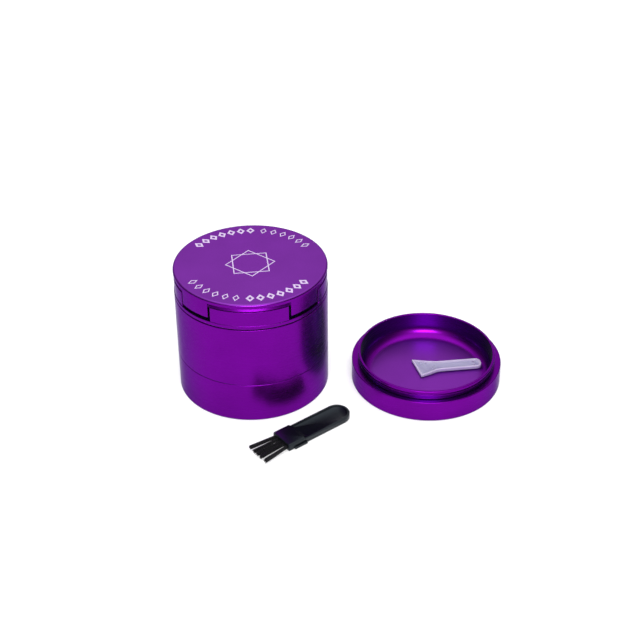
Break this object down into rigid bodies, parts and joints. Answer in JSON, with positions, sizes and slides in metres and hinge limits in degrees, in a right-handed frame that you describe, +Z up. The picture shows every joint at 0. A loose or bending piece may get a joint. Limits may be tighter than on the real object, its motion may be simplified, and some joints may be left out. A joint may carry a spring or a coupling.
{
  "type": "hand grinder set",
  "caption": "Round anodised hand grinder for herbs and spices: stacked turned sections, a castellated lid, a detached catcher dish, a scraper and a small cleaning brush.",
  "frame": {"origin": "on the stack's axis, on the plane that all the pieces stand on, at the mouth of the socket for the dish", "axes": "+Z up along the stack's axis, +X from the stack towards the dish, -Y towards the brush"},
  "size_m": [0.1361, 0.0912, 0.0558],
  "materials": {
    "anodised_body": "satin purple anodising over a turned surface",
    "anodised_lid": "bead-blasted satin purple anodising",
    "anodised_dish": "satin purple anodising, turned inside and outside",
    "silicone": "translucent silicone",
    "stainless": "stamped stainless steel",
    "screen_wire": "fine woven stainless wire",
    "cup_steel": "drawn steel",
    "magnet_nickel": "nickel plating",
    "nylon": "natural white nylon",
    "milky_plastic": "translucent moulded polypropylene",
    "black_plastic": "moulded black polystyrene",
    "bristle": "black nylon filament",
    "anchor_metal": "cut wire strip"
  },
  "bodies": {
    "screen_section": {"screen_chamber": "anodised_body", "screen_gasket": "silicone", "screen_hoop_lower": "stainless", "screen_mesh": "screen_wire", "screen_hoop_upper": "stainless", "screen_snap_ring": "stainless"},
    "grinding_section": {"grinding_chamber": "anodised_body", "post_magnet_cup": "cup_steel", "post_magnet": "magnet_nickel"},
    "glide": {"glide_ring": "nylon"},
    "castellated_ring": {"tooth_ring": "anodised_body", "tooth_ring_magnet": "magnet_nickel"},
    "lid": {"cap": "anodised_lid", "cap_magnet_cup": "cup_steel", "cap_magnet": "magnet_nickel"},
    "dish": {"catcher_dish": "anodised_dish"},
    "scraper_tool": {"scraper": "milky_plastic"},
    "brush": {"brush_handle": "black_plastic", "bristle_tufts": "bristle", "tuft_anchors": "anchor_metal"}
  },
  "joints": [
    {"name": "lift_chamber", "type": "slide", "parent": "screen_section", "child": "grinding_section", "axis": [0, 0, 1], "range_m": [0, 0.03]},
    {"name": "lift_tooth_ring", "type": "slide", "parent": "grinding_section", "child": "glide", "axis": [0, 0, 1], "range_m": [0, 0.03]},
    {"name": "grind_spin", "type": "hinge", "parent": "glide", "child": "castellated_ring", "pos_m": [0, 0, 0.044], "axis": [0, 0, 1], "continuous": true},
    {"name": "lift_cap", "type": "slide", "parent": "castellated_ring", "child": "lid", "axis": [0, 0, 1], "range_m": [0, 0.03]},
    {"name": "lift_dish", "type": "slide", "parent": "screen_section", "child": "dish", "axis": [0, 0, 1], "range_m": [0, 0.03]},
    {"name": "lift_scraper", "type": "slide", "parent": "dish", "child": "scraper_tool", "axis": [0, 0, 1], "range_m": [0, 0.03]},
    {"name": "lift_brush", "type": "slide", "parent": "screen_section", "child": "brush", "axis": [0, 0, 1], "range_m": [0, 0.03]}
  ]
}
